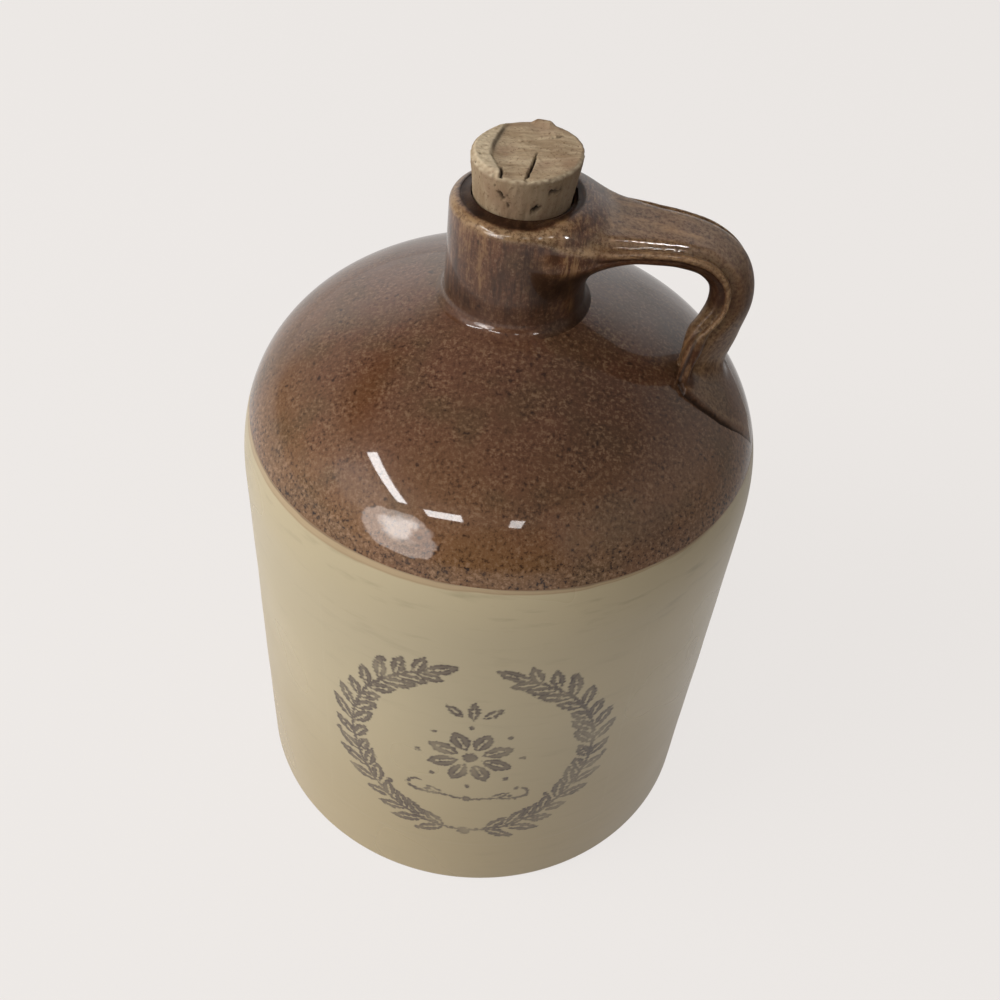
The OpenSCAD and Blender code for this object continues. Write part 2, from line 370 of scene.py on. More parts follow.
def dark_glaze_group():
    """The brown glaze: slow clouds of olive and red brown, fine iron specks with light grains
    between them and a few larger spots, all stronger in the warm, thin lower edge, and painted
    shade on the dome's upper right. Streaks go from 0, dark, to 1, pale. Thin takes the colour
    to tan, for thin glaze and for a painted sheen, and Deep to near black, for pooled glaze and
    for painted shade."""
    takes = [
        ("Brown", "Color", tint(102, 68, 49)), ("Streaks", "Float", 0.5), ("Thin_and_Sheen", "Float", 0.0),
        ("Deep_and_Shade", "Float", 0.0), ("Specks", "Float", 1.0),
    ]
    tree, given, out = group("dark_glaze_look", takes)
    link = tree.links.new
    where = add(tree, "ShaderNodeTexCoord").outputs["Object"]
    place = add(tree, "ShaderNodeSeparateXYZ", None, {0: where}).outputs
    low = ramp(tree, place["Z"], 0.136, 0.112)
    rim = ramp(tree, place["Z"], float(seam_h) + 0.009, float(seam_h) + 0.001)
    olive = noise(tree, where, 0.012, 3)
    red = noise(tree, where, 0.017, 2)
    # Painted shade: the dome is darker towards its right, away from the light, from 117 mm up
    full = times(tree, ramp(tree, place["X"], -0.012, 0.022), ramp(tree, place["Z"], 0.117, 0.13))
    speck = noise(tree, where, 0.0008, 4, 0.7)
    patchy = noise(tree, where, 0.005, 2)
    strong = plus(tree, times(tree, rim, 0.6), ramp(tree, patchy, 0.35, 0.65, 0.38, 0.66))
    strong = times(tree, strong, given["Specks"])
    dark = times(tree, ramp(tree, speck, 0.52, 0.65), strong)
    light = times(tree, ramp(tree, speck, 0.49, 0.37), strong)
    spot = noise(tree, where, 0.0016, 1)
    colour = washed(
        tree, given["Brown"],
        (low, (122, 87, 56)),
        (ramp(tree, olive, 0.46, 0.66, 0, 0.5), (88, 69, 46)),
        (ramp(tree, red, 0.48, 0.64, 0, 0.2), (108, 68, 54)),
        (times(tree, full, 0.55), (72, 46, 30)),
        (sums(tree, "MINIMUM", dark, 1.0), (40, 25, 17)),
        (times(tree, light, 0.7), (156, 124, 95)),
        (ramp(tree, spot, 0.70, 0.77, 0, 0.65), (42, 26, 18)),
        (ramp(tree, given["Streaks"], 0.51, 0.66, 0, 0.68), (148, 112, 76)),
        (ramp(tree, given["Streaks"], 0.49, 0.32, 0, 0.75), (50, 29, 16)),
        (given["Deep_and_Shade"], (32, 19, 11)),
        (times(tree, given["Thin_and_Sheen"], ramp(tree, speck, 0.6, 0.44, 0.3, 1.0)), (160, 131, 96)),
    )
    link(colour, out["Colour"])
    ripple = noise(tree, where, 0.0042, 1, 0.5)
    link(plus(tree, ripple, times(tree, speck, 0.05)), out["Height"])
    link(ramp(tree, olive, 0.3, 0.7, 0.3, 0.42), out["Roughness"])
    return tree


dark_glaze_look = dark_glaze_group()
brown_ripple = 0.00018
shoulder.data.materials.append(glaze_material("brown_glaze", dark_glaze_look, brown_ripple, 1.0)[0])

# Neck
# A short collar with a rolled lip, luted to the crown of the dome. The glaze ran down it in
# streaks as it melted, and is thin and tan along the lip.
lip_round = 0.002
lip_r = 0.01358
lip_crest_r = lip_r - lip_round
mouth_rise = 0.0006
lip_h = mouth_h - mouth_rise
mouth_r = 0.00974
bore_r = 0.00912
seat_depth = 0.0065
# A shallow dip between the rolled lip and the mouth's raised edge
lip_dip = [[0.0116, lip_h - 0.00008], [0.0111, lip_h - 0.00002], [0.0105, lip_h + 0.00022]]
mouth_edge = (0.0101, lip_h + 0.0004)
# The glaze has filled the angle at the collar's foot: a fillet whose centre lies where the
# dome's outline, moved out by the fillet's radius, is that radius away from the collar
root_round = 0.0028
fillet_sink = 0.000015
shares = np.linspace(0.8, 1, 400)
touch = np.interp(-neck_r - root_round, -dome(shares, root_round)[:, 0], shares)
fillet_x, fillet_h = dome([touch], root_round)[0]
touch_x, touch_h = dome([touch])[0]
touch_angle = np.degrees(np.arctan2(touch_h - fillet_h, touch_x - fillet_x)) + 360
neck_outline = np.vstack([
    line((bore_r, crown_h), (crown_r - hidden_inset, crown_h), 3),
    [[touch_x - edge_inset, touch_h - edge_inset / 3]],
    arc((fillet_x, fillet_h - fillet_sink), root_round, touch_angle, 180, 16),
    line((neck_r, fillet_h), (lip_r, lip_h - lip_round), 30)[1:-1],
    arc((lip_crest_r, lip_h - lip_round), lip_round, 0, 90, 12),
    lip_dip,
    line(mouth_edge, (mouth_r, mouth_h), 3),
    line((mouth_r, mouth_h), (bore_r, mouth_h - seat_depth), 8)[1:],
    line((bore_r, mouth_h - seat_depth), (bore_r, crown_h), 10)[1:-1],
])
neck = revolve("collar", neck_outline, columns=256, slot="dark_glaze")
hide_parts("neck")


def ease(value, low, high):
    """A value carried to 0 at low and 1 at high, level at both ends."""
    share = np.clip((value - low) / (high - low), 0, 1)
    return share * share * (3 - 2 * share)


def mark(piece, name, values):
    """Writes one value, or one vector, for each point of a mesh, for its material to read."""
    if values.ndim == 2:
        facts = piece.data.attributes.new(name, "FLOAT_VECTOR", "POINT")
        facts.data.foreach_set("vector", values.astype(np.float32).ravel())
    else:
        facts = piece.data.attributes.new(name, "FLOAT", "POINT")
        facts.data.foreach_set("value", np.clip(values, 0, 1).astype(np.float32))


def reading(tree, name, output="Fac"):
    """An attribute of the mesh as a value or vector."""
    return add(tree, "ShaderNodeAttribute", {"attribute_name": name}).outputs[output]


def between(tree, share, a, b):
    """Value a moved towards value b by a share."""
    return add(tree, "ShaderNodeMix", None, {0: share, 2: a, 3: b}).outputs[0]


def corners_of(piece):
    """A piece's points in millimetres."""
    points = np.empty(len(piece.data.vertices) * 3)
    piece.data.vertices.foreach_get("co", points)
    return points.reshape(-1, 3) * 1000


def lip_marks(x, y, z):
    """How thin the glaze is on the lip's crest; how dark round the mouth, as pooled glaze with the
    cork's painted shadow, and under the handle's root, as painted shade with some pooled glaze;
    and how dull that shade is, at a place in millimetres."""
    radius = np.hypot(x, y)
    crest = ease(radius, 11.9, 12.7) * ease(z, 157.8, 159.2)
    # Pooled glaze with the cork's painted shadow round the mouth, and painted shade on the neck's right
    # under the handle's root
    mouth = ease(radius, 12.3, 11.5) * ease(z, 158.6, 159.6)
    shade = ease(x, 1, 8) * ease(z, 154, 150.5) * np.maximum(ease(z, 141, 147), ease(x, 8, 13))
    dull = 0.6 * ease(x, -2, 6) * ease(z, 157, 154.5) * ease(radius, 24, 18)
    return 0.8 * crest, np.maximum(0.85 * mouth, 0.78 * shade * ease(radius, 22, 16)), dull


x, y, z = corners_of(neck).T
thin_and_sheen, pool_and_shade, dull = lip_marks(x, y, z)
mark(neck, "thin_and_sheen", thin_and_sheen)
mark(neck, "dull", np.maximum(dull, 0.8 * ease(x, 10.5, 12.5) * ease(z, 150, 146)))
# Darker towards the collar's foot and below the lip on the left, and pooled glaze with painted shade in the
# fillet on the right
foot = 0.28 * ease(z, 148, 143) * ease(z, 138.8, 140.8) + 0.22 * ease(x, -2, -9) * ease(z, 157, 154)
mark(neck, "pool_and_shade", np.maximum(pool_and_shade, np.maximum(foot, 0.5 * ease(z, 141.5, 140) * ease(x, 3, 9))))
mark(neck, "flows", ease(z, 139.3, 143.5))
streak_length = 5.5
mark(neck, "lay", np.stack([x, y, z / streak_length], 1) / 1000)


def streaked_glaze():
    """The dark glaze where it ran: streaks and clouds drawn out along the mesh's own lay, as
    strong as its flows, and thin, pooled and dull where its points are marked so. The thin marks
    also carry a painted sheen and the pooled marks painted shade; the pooled marks also dull the
    coat."""
    material, skin, tree = glaze_material("streaked_glaze", dark_glaze_look, brown_ripple, 1.0)
    link = tree.links.new
    base = blend(tree, reading(tree, "flows"), tint(102, 68, 49), tint(97, 62, 40))
    link(base, skin.inputs["Brown"])
    skin.inputs["Specks"].default_value = 0.75
    streaks = noise(tree, reading(tree, "lay", "Vector"), 0.0018, 5, 0.74)
    clouds = noise(tree, reading(tree, "lay", "Vector"), 0.0055, 2, 0.6)
    mixed = between(tree, 0.34, streaks, clouds)
    swing = times(tree, less(tree, mixed, 0.5), reading(tree, "flows"))
    link(plus(tree, times(tree, swing, 1.7), 0.5), skin.inputs["Streaks"])
    link(reading(tree, "thin_and_sheen"), skin.inputs["Thin_and_Sheen"])
    link(reading(tree, "pool_and_shade"), skin.inputs["Deep_and_Shade"])
    gloss = ramp(tree, reading(tree, "pool_and_shade"), 0.3, 0.8, 1.0, 0.12)
    gloss = times(tree, gloss, less(tree, 1.0, reading(tree, "dull")))
    link(gloss, tree.nodes["Principled BSDF"].inputs["Coat Weight"])
    return material


streaked = streaked_glaze()
neck.data.materials.append(streaked)

# Handle
# A strap of clay pulled wet, stuck to the neck under the lip, arched over and pressed down
# on the dome with a thumb. The shape is worked out as one field, in millimetres, so that
# its clay flows into the neck as one fillet, and its pressed end stands on the dome.
strap_rows = np.array([
    # x, z, y, half width, half thickness, turn to the front in degrees
    [-1.0, 156.4, 0.0, 5.0, 2.2, 0],
    [4.0, 156.6, -0.2, 9.6, 2.6, 1],
    [9.0, 156.4, -0.4, 12.0, 2.9, 2],
    [14.0, 155.8, -0.5, 11.0, 3.1, 3],
    [19.0, 155.0, -0.6, 9.5, 3.2, 4],
    [25.0, 154.4, -0.5, 8.2, 3.0, 5],
    [31.0, 153.7, -0.3, 7.4, 3.0, 6],
    [36.8, 151.8, -0.1, 6.8, 3.15, 10],
    [41.0, 147.8, 0.0, 6.6, 3.4, 18],
    [42.4, 141.7, -0.2, 7.0, 3.6, 28],
    [40.7, 134.8, -1.5, 8.0, 3.3, 40],
    [39.0, 127.5, -3.6, 7.3, 2.3, 46],
    [38.0, 119.0, -4.6, 7.6, 2.0, 48],
])
pressed = np.array([
    # The outline of the pressed end, seen from above
    [38.6, -4.0], [36.0, -9.0], [33.9, -13.2], [35.2, -15.2], [39.1, -16.0], [43.5, -15.7],
    [46.5, -14.4], [50.5, -11.6], [53.0, -9.0], [52.6, -5.0], [50.5, -1.0], [48.2, 3.5],
    [46.6, 8.0], [44.5, 11.0], [41.5, 9.0], [38.0, 3.0],
])


def through(rows, count):
    """A Catmull-Rom curve through the rows: each span is the cubic that leaves one row and
    meets the next along half the difference of the rows beside them."""
    place = np.linspace(0, len(rows) - 1, count)
    i = np.minimum(place.astype(int), len(rows) - 2)
    f = (place - i)[:, None]
    a, b, c, d = (rows[np.clip(i + k, 0, len(rows) - 1)] for k in (-1, 0, 1, 2))
    curve = 2 * b + (c - a) * f + (2 * a - 5 * b + 4 * c - d) * f**2
    return 0.5 * (curve + (3 * b - a - 3 * c + d) * f**3)


def flow(a, b, radius):
    """Two fields joined by a round fillet: the radius less the length of what each lacks of it."""
    lacks = np.hypot(np.maximum(radius - a, 0), np.maximum(radius - b, 0))
    return np.maximum(radius, np.minimum(a, b)) - lacks


station_count = 161
stations = through(strap_rows, station_count)
spine = stations[:, [0, 2, 1]]
along = np.gradient(spine, axis=0)
stride = np.linalg.norm(along, axis=1)
along /= stride[:, None]
to_front = np.array([0.0, -1.0, 0.0]) + along * along[:, 1:2]
to_front /= np.linalg.norm(to_front, axis=1)[:, None]
outward = np.cross(to_front, along)
strap_turn = np.radians(stations[:, 5:])
near_way = np.cos(strap_turn) * to_front - np.sin(strap_turn) * outward
face_way = np.cos(strap_turn) * outward + np.sin(strap_turn) * to_front


def roll_rise(at):
    """How high up the strap's edge its roll stands, as a share of the half thickness."""
    return 0.2 + 0.22 * ease(at, 48, 68)


def strap_field(p):
    """Distance from the strap, and where a point lies on it. The nearest station's frame gives
    the place across the width and off the face. The section is a bar whose outer face steps
    down through a shoulder and a groove to a thin roll of clay along each edge. Down the leg
    the outer face is crowned."""
    near = np.full(len(p), 1e9)
    at = np.zeros(len(p))
    for k in range(0, len(spine), 3):
        gap = ((p - spine[k]) ** 2).sum(1)
        at = np.where(gap < near, k, at)
        near = np.minimum(near, gap)
    for _ in range(3):
        i = np.clip(at, 0, len(spine) - 2).astype(int)
        f = (at - i)[:, None]
        middle, way = (row[i] * (1 - f) + row[i + 1] * f for row in (spine, along))
        at = np.clip(at + ((p - middle) * way).sum(1) / stride[i], 0, len(spine) - 1)
    i = np.clip(at, 0, len(spine) - 2).astype(int)
    f = (at - i)[:, None]
    middle, way, side, face, facts = (
        row[i] * (1 - f) + row[i + 1] * f for row in (spine, along, near_way, face_way, stations[:, 3:5]))
    off = p - middle
    across = (off * side).sum(1)
    height = (off * face).sum(1)
    share = np.clip(np.abs(across / facts[:, 0]), 0, 1)
    inboard = facts[:, 0] - np.abs(across)
    ridged = ease(at, 25, 48) * ease(at, 152, 140)
    crown = ease(at, 88, 114)
    step_down = 0.4 * ridged * (1 - 0.5 * crown) * ease(inboard, 2.8, 1.5)
    top = facts[:, 1] * (1 + crown * (0.22 - 0.6 * share**2) - step_down - 0.12 * share**5)
    under = facts[:, 1] * (1 - 0.5 * share**2.2)
    thick = np.where(height > 0, top, under)
    edge = np.minimum(thick * 0.85, 2.3)
    inset = 0.95 - 0.6 * crown * ease(height, 0.8, -0.8)
    wide = np.abs(across) - (facts[:, 0] - inset - edge)
    deep = np.abs(height) - (thick - edge)
    gap = np.hypot(np.maximum(wide, 0), np.maximum(deep, 0)) + np.minimum(np.maximum(wide, deep), 0) - edge
    roll_r = 0.8 - 0.22 * crown
    roll_h = facts[:, 1] * roll_rise(at)
    roll = np.hypot(inboard - roll_r, height - roll_h) - roll_r
    gap = flow(gap, roll + 1.5 * (1 - ridged), 0.4)
    over = np.abs((off * way).sum(1)) - 0.5
    return np.maximum(gap, over), at, across, height


def off_span(x, y, start, end):
    """Distance in a plane to the straight span between two points, from the nearest place on
    it: the share of the way along, held from 0 to 1."""
    run, rise = end[0] - start[0], end[1] - start[1]
    share = np.clip(((x - start[0]) * run + (y - start[1]) * rise) / (run * run + rise * rise), 0, 1)
    return np.hypot(x - start[0] - share * run, y - start[1] - share * rise)


def inside_outline(x, y, corners):
    """Distance to a closed outline in plan, positive inside it. A point is inside where a line
    from it towards +X crosses the outline an odd number of times."""
    gap = np.full(x.shape, 1e9)
    within = np.zeros(x.shape, bool)
    for start, end in zip(corners, np.roll(corners, -1, axis=0)):
        gap = np.minimum(gap, off_span(x, y, start, end))
        run, rise = end - start
        crossed = (start[1] > y) != (end[1] > y)
        within ^= crossed & (x < run * (y - start[1]) / (rise if rise else 1e-9) + start[0])
    return np.where(within, gap, -gap)


# The dome's outline, carried on to the axis under the neck
dome_line = dome(np.linspace(0, 1, 300)) * 1000
dome_line = np.vstack([dome_line, [0, dome_line[-1, 1] + np.tan(crown_angle) * dome_line[-1, 0]]])
table_step = 0.25
table_r = np.arange(0, 62, table_step)
table_z = np.arange(100, 168, table_step)


def dome_table():
    """Distance from the dome's outline at each radius and height, positive above it."""
    r, z = np.meshgrid(table_r, table_z, indexing="ij")
    gap = np.full(r.shape, 1e9)
    for start, end in zip(dome_line[:-1], dome_line[1:]):
        gap = np.minimum(gap, off_span(r, z, start, end))
    top = np.interp(r, dome_line[::-1, 0], dome_line[::-1, 1], right=0)
    return np.where(z > top, gap, -gap)


dome_gaps = dome_table()


def dome_field(r, z):
    """The table's distance at any radius and height, shared between its four nearest values."""
    i = np.clip(r / table_step, 0, len(table_r) - 1.001)
    j = np.clip((z - table_z[0]) / table_step, 0, len(table_z) - 1.001)
    a, b = i.astype(int), j.astype(int)
    f, g = i - a, j - b
    low = dome_gaps[a, b] * (1 - f) + dome_gaps[a + 1, b] * f
    high = dome_gaps[a, b + 1] * (1 - f) + dome_gaps[a + 1, b + 1] * f
    return low * (1 - g) + high * g


def near_line(x, y, z, start, end):
    """Distance to a line, and the share of the way along it."""
    start, end = np.array(start), np.array(end)
    run = end - start
    share = ((x - start[0]) * run[0] + (y - start[1]) * run[1] + (z - start[2]) * run[2]) / (run @ run)
    share = np.clip(share, 0, 1)
    gap = np.sqrt(sum((c - start[n] - share * run[n]) ** 2 for n, c in enumerate((x, y, z))))
    return gap, share


# The front edge of the leg is drawn out to a round toe, and the roll along the strap's front
# edge runs on across the neck to the lip
toe = [(37.0, -5.6, 137.0), (34.7, -12.4, 130.2)]
toe_r = 1.2
lip_roll = [(1.5, -12.6, 158.6), (5.0, -12.75, 158.2), (8.0, -12.4, 157.4), (11.0, -11.75, 156.6),
            (14.0, -11.0, 156.1), (19.0, -8.8, 155.3)]


def roll_gap(x, y, z):
    """Distance from the roll on the neck, which swells at the lip and sinks into the strap."""
    spans = list(zip(lip_roll[:-1], lip_roll[1:]))
    gaps = []
    for n, (start, end) in enumerate(spans):
        gap, share = near_line(x, y, z, start, end)
        way = (n + share) / len(spans)
        gaps.append(gap - 0.3 - 0.45 * ease(way, 0, 0.5) + 0.7 * ease(way, 0.7, 1.0))
    return np.min(gaps, axis=0)


def handle_field(p):
    """The whole handle: strap, fillet on the neck and pressed end, with a skin of the jug just
    under its real surface, so that the fillets rise out of it without a step. The skin is 1.4 mm
    thick, stops short of the bore, and ends 10 mm from the strap and 1 mm round its end."""
    x, y, z = p.T
    strap = flow(strap_field(p)[0], near_line(x, y, z, *toe)[0] - toe_r, 2 * toe_r)
    r = np.hypot(x, y)
    wave = hand(x / 1000, y / 1000, z / 1000) * 1000
    crest_r, roll, top, foot_z = (1000 * size for size in (lip_crest_r, lip_round, lip_h, fillet_h))
    rim = np.hypot(np.maximum(r - crest_r, 0), np.maximum(z - (top - roll), 0)) - roll
    draw = (neck_r - lip_r) * 1000 * np.clip((z - foot_z) / (top - roll - foot_z), 0, 1)
    wall = r - neck_r * 1000 + draw
    collar = np.where((r < crest_r) | (z < top - roll), np.maximum(wall, z - top), rim) - wave
    domed = dome_field(r, z) - wave
    sunk = 0.06
    skin_t = 1.4
    edge = inside_outline(x, y, pressed)
    tall = 1.35 - 0.9 * ease(r, 37, 50)
    soft = 0.55 + 1.6 * ease(y, -6, 4) + 1.2 * ease(r, 47, 53)
    foot = domed + sunk - (tall + sunk) * ease(edge, -0.1, soft)
    heel_r = 0.15 + 2.85 * ease(x, 34.5, 42)
    heel = flow(strap, foot, heel_r)
    root_r = 3.5 + (2.0 + 5.0 * ease(z, 157.5, 152.5)) * ease(x, -4, 7)
    root = flow(strap, collar + sunk, root_r)
    skin = flow(collar + sunk, domed + sunk, root_round * 1000)
    whole = np.minimum(np.minimum(root, heel), np.minimum(skin, foot))
    whole = flow(whole, roll_gap(x, y, z), 0.5)
    whole = np.maximum(whole, -(np.minimum(collar, domed) + skin_t))
    whole = np.maximum(whole, np.where(z > 148, 10.3 - r, -5))
    reach = np.minimum(strap - 10, np.where(z > 139, 9, -(edge + 1.0)))
    return np.maximum(whole, reach)


def net(field, low, step):
    """The surface where a field on a cubic grid is zero. Each cell that it crosses has one
    vertex, at the mean of its edges' crossings, and each crossed grid edge has one face
    between the four cells round it."""
    solid = field < 0
    ends = [slice(None, -1), slice(1, None)]
    corners = [(i, j, k) for i in (0, 1) for j in (0, 1) for k in (0, 1)]
    count = sum(solid[ends[i], ends[j], ends[k]].astype(int) for i, j, k in corners)
    cells = np.argwhere((count > 0) & (count < 8))
    number = np.full(count.shape, -1)
    number[tuple(cells.T)] = np.arange(len(cells))
    total = np.zeros((len(cells), 3))
    met = np.zeros(len(cells))
    for a in corners:
        for axis in range(3):
            b = tuple(1 if n == axis else a[n] for n in range(3))
            if a[axis]:
                continue
            fa, fb = field[tuple((cells + a).T)], field[tuple((cells + b).T)]
            cut = (fa < 0) != (fb < 0)
            share = np.where(cut, fa / np.where(cut, fa - fb, 1), 0)
            total += np.where(cut[:, None], a + share[:, None] * (np.array(b) - a), 0)
            met += cut
    faces = []
    for axis in range(3):
        one, two = np.eye(3, dtype=int)[(axis + 1) % 3], np.eye(3, dtype=int)[(axis + 2) % 3]
        change = np.diff(solid.astype(int), axis=axis)
        edges = np.argwhere(change)
        edges = edges[(edges @ one > 0) & (edges @ two > 0)]
        ring = np.stack([number[tuple((edges - d).T)] for d in (one + two, two, 0 * one, one)], 1)
        leaves = change[tuple(edges.T)] > 0
        ring[leaves] = ring[leaves][:, ::-1]
        faces.append(ring)
    return low + step * (cells + total / met[:, None]), np.vstack(faces)


def fill(low, high, step, every=4):
    """The field on a grid. Every fourth point is worked out first, and the rest only where
    the surface may be near, in 24 lots to save memory."""
    count = [int(np.ceil((b - a) / (every * step))) for a, b in zip(low, high)]
    coarse = [low[n] + every * step * np.arange(count[n] + 1) for n in range(3)]
    rough = handle_field(np.stack(np.meshgrid(*coarse, indexing="ij"), -1).reshape(-1, 3))
    rough = rough.reshape([len(c) for c in coarse])
    field = rough.repeat(every, 0).repeat(every, 1).repeat(every, 2)
    shallow = np.argwhere(np.abs(field) < 11 * step)
    values = np.concatenate([handle_field(low + step * part) for part in np.array_split(shallow, 24)])
    field[tuple(shallow.T)] = values
    return field


def bell(value, middle, width):
    """1 at the middle, falling away on both sides: e to the minus square of the distance over
    the width."""
    return np.exp(-(((value - middle) / width) ** 2))


low_corner = np.array([-13.0, -19.0, 108.0])
high_corner = np.array([58.0, 19.0, 163.5])
step = 0.36
field = fill(low_corner, high_corner, step)
points, faces = net(field, low_corner, step)
strap_gap, at, across, height = strap_field(points)
handle = put_mesh("strap", points / 1000, faces.tolist(), slot="dark_glaze")
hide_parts("handle")
x, y, z = points.T
radius = np.hypot(x, y)
half, thick, length = (np.interp(at, np.arange(station_count), row) for row in (
    stations[:, 3], stations[:, 4], np.cumsum(stride) - stride[0]))
domed = dome_field(radius, z)
# The glaze's streaks run down the neck, turn, and run along the strap
on_strap = ease(x, 8, 18)
lay = np.stack([x, y, z / streak_length], 1) * (1 - on_strap[:, None])
lay = lay + np.stack([across, height - 9, length / streak_length], 1) * on_strap[:, None]
mark(handle, "lay", lay / 1000)
mark(handle, "flows", np.maximum(ease(domed, 0.3, 1.5), ease(z, 148, 152)) * (1 - 0.35 * on_strap))
# Thin and tan on the rolls and the rim of the pressed end. The upper face is painted lighter
# tan as its sheen, the ridge is painted a little lighter down the leg where less light reaches
# it, and the lower leg and the foot are lighter tan
inboard = half - np.abs(across)
above_roll = height - roll_rise(at) * thick
on_skin = ease(strap_gap, 1.0, 0.2)
ridged = ease(at, 25, 48)
ridge = bell(np.hypot(inboard - 0.4, above_roll - 0.25), 0, 0.55) * on_skin * ridged
ridge = np.maximum(ridge, ease(roll_gap(x, y, z), 0.35, -0.1))
crest, ring, dull = lip_marks(x, y, z)
# Painted sheen: the strap's upper face is made lighter tan
painted_top_sheen = ease(height, 0.5, 1.8) * ease(at, 16, 34) * ease(at, 130, 95) * on_skin
inside = inside_outline(x, y, pressed)
front_end = ease(z, 140, 138) * ease(y, 2, -4)
on_foot = front_end * ease(domed, 3.0, 2.0)
pressed_rim = bell(inside, 1.5, 0.4) * on_foot
tan_leg = 0.36 * ease(at, 112, 128) * on_skin
off_toe = ease(near_line(x, y, z, *toe)[0], 2.2, 4.0)
tan_foot = off_toe * np.maximum(0.3 * on_foot * ease(x, 48, 42) * ease(inside, 0.5, 1.4), 0.45 * pressed_rim)
# The ridge is painted lighter down the leg, where less light reaches it
tan_ridge = (0.8 + 0.2 * ease(at, 110, 130)) * ridge
thin_and_sheen = [crest * ease(x, 12, 4), tan_ridge, 0.34 * painted_top_sheen, tan_leg, tan_foot]
mark(handle, "thin_and_sheen", np.max(thin_and_sheen, axis=0))
# Dark where glaze pools in the creases, round the pressed end and in the groove, with a
# painted shadow in the creases and round the pressed end; painted shade on the leg's inner
# face, in a line under the roll and under the root
off_jug = np.minimum(domed, radius - neck_r * 1000 + 0.2)
# Pooled glaze with a painted shadow in the creases, and below, round the pressed end
crease = ease(np.maximum(strap_gap, off_jug), 1.8, 0.4) * ease(strap_gap, 0.05, 0.4)
outline = bell(inside, 0.05, 0.42) * front_end
off_groove = np.hypot(inboard - 1.7, (height - 0.65 * thick) / 1.6)
channel = bell(off_groove, 0, 0.7) * ridged
# Painted shade on the leg's inner face, and below, in a line under the roll
inner_face_shade = ease(above_roll, 0.0, -1.2) * ease(at, 55, 90) * ease(at, 146, 118)
under_roll_shade = bell(above_roll, -1.1, 0.5) * ease(inboard, 2.0, 1.0) * ridged
pool_and_shade = np.max([0.8 * crease, 0.95 * outline, 0.4 * channel, 0.6 * inner_face_shade, 0.6 * under_roll_shade, ring], axis=0)
mark(handle, "pool_and_shade", pool_and_shade * (1 - 0.8 * ridge))
# Dull down the leg, along the edges, at the toe and in the shade of the root
leg_dull = ease(at, 95, 112) * (0.4 + 0.52 * ease(strap_gap, 2.0, 0.5))
edge_dull = 0.9 * ease(inboard, 2.3, 1.7) * ease(at, 30, 45) * on_skin
toe_dull = 0.95 - 0.95 * off_toe
mark(handle, "dull", np.max([leg_dull, edge_dull, toe_dull, dull], axis=0))
handle.data.materials.append(streaked)

# Cork
# A tapered natural cork pushed into the mouth. Its top is cut rough, with a raised crescent on
# the left, a crack, pits in its side and a flake that stands up at the back.
cork_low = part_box("cork_stopper")[0][2] * 1000
cork_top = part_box("cork_stopper")[1][2] * 1000
cork_low_r = 8.0
cork_top_r = 10.35
cork_rough_h = 158.5
cork_clear_h = 161.5
crescent_edge = np.array([
    # y, and x where the raised crescent ends
    [-10, -3.6], [-5.2, -5.4], [-2.5, -6.5], [1.2, -6.3], [4.5, -5.6], [7.8, -4.7], [10, -3.2],
])
cork_marks = [
    # start, end, radius at the start and at the end, depth
    [(-4.35, -9.2, 165.4), (-3.6, -9.4, 164.7), 0.34, 0.30, 0.9],
    [(-2.9, -9.8, 165.5), (-2.85, -9.8, 165.4), 0.22, 0.22, 0.6],
    [(-2.7, -9.7, 163.5), (-2.5, -9.7, 163.2), 0.26, 0.26, 0.8],
    [(5.0, -9.0, 166.0), (6.8, -7.6, 165.9), 0.38, 0.22, 0.9],
    [(2.4, -9.6, 162.8), (3.3, -9.3, 163.1), 0.55, 0.40, 1.2],
    [(-4.4, -5.9, 168.6), (-4.3, -9.0, 168.6), 0.20, 0.30, 0.9],
    [(1.8, -0.3, 168.6), (1.2, -4.0, 168.6), 0.08, 0.26, 0.9],
    [(1.2, -4.0, 168.6), (0.1, -9.6, 168.6), 0.32, 0.22, 1.1],
    [(-8.4, 4.9, 164.0), (-8.3, 5.2, 163.4), 0.5, 0.4, 1.0],
    [(1.0, 9.9, 165.0), (2.2, 9.7, 165.3), 0.5, 0.3, 1.0],
    [(9.3, 3.0, 162.5), (9.4, 2.4, 162.2), 0.4, 0.3, 0.8],
    [(4.6, 4.2, 168.6), (6.1, 4.9, 168.6), 0.16, 0.26, 0.7],
]


def waves(x, y, z, size, seed, count=16):
    """Even, seeded roughness of about one height: the mean of plane waves in many directions."""
    random = np.random.default_rng(seed)
    ways = random.normal(size=(count, 3))
    ways *= (2 * np.pi / size / np.linalg.norm(ways, axis=1) * random.uniform(0.6, 1.6, count))[:, None]
    shift = random.uniform(0, 2 * np.pi, count)
    total = 0
    for way, start in zip(ways, shift):
        total = total + np.sin(way[0] * x + way[1] * y + way[2] * z + start)
    return total / np.sqrt(count / 2)


# The rows stand closer where the cork shows above the mouth
side_h = [line(cork_low + 0.5, cork_rough_h, 14), line(cork_rough_h + 0.3, cork_top - 0.35, 36)]
side_h = np.concatenate(side_h)
side_r = np.interp(side_h, [cork_low, cork_top], [cork_low_r, cork_top_r])
cork_outline = np.vstack([
    [[0, cork_low]],
    np.stack([line(0.6, 7.4, 8), np.full(8, cork_low)], 1),
    [[7.75, cork_low + 0.15]],
    np.stack([side_r, side_h], 1),
    [[10.24, cork_top - 0.16], [10.08, cork_top - 0.05]],
    np.stack([line(9.85, 0.25, 40), np.full(40, cork_top)], 1),
    [[0, cork_top]],
])
cork = revolve("cork", cork_outline / 1000, columns=280, wave=None, body="stopper", slot="cork")
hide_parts("cork_stopper")
